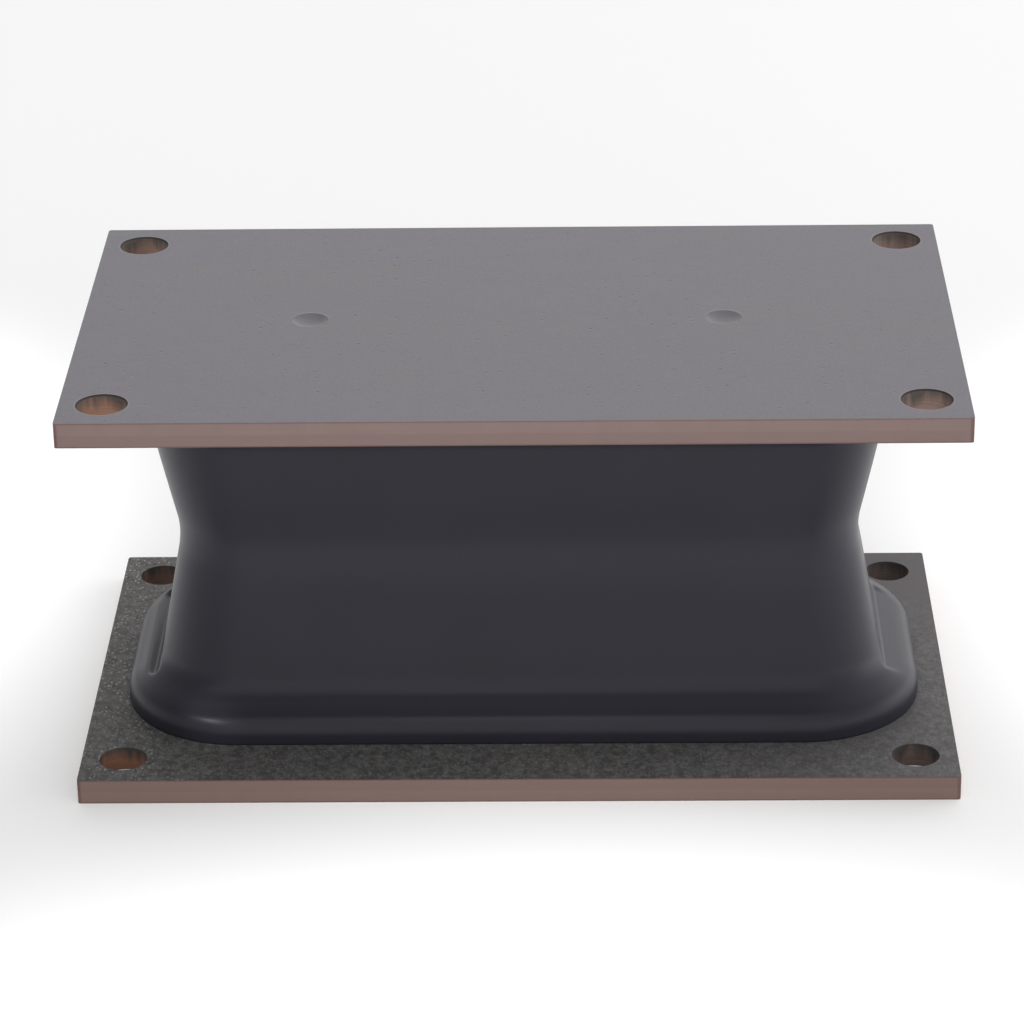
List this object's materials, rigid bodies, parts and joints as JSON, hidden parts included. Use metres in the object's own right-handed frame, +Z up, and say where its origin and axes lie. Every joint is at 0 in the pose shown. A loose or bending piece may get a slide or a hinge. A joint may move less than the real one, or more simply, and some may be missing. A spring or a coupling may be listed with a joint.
{
  "type": "rubber shock mount",
  "caption": "Waisted rubber block bonded between flat drilled steel plates, with a bead round each foot, for isolating a machine from shock and vibration",
  "frame": {"origin": "the middle of the bottom plate's underside, which lies at Z 0", "axes": "+X along the plates, +Y across them, +Z up from the bottom plate to the top plate"},
  "size_m": [0.24, 0.14, 0.113],
  "materials": {
    "blasted_steel": "blasted dark upper face with fine pits and specks, brownish edges, coppery hole walls",
    "rubber": "smooth moulded black rubber with a low sheen",
    "plated_steel": "dull grey outer face with fine scratches and small pits, brownish edges, coppery hole walls"
  },
  "bodies": {
    "root": {"bottom_plate": "blasted_steel", "rubber_block": "rubber", "top_plate": "plated_steel"}
  },
  "joints": []
}
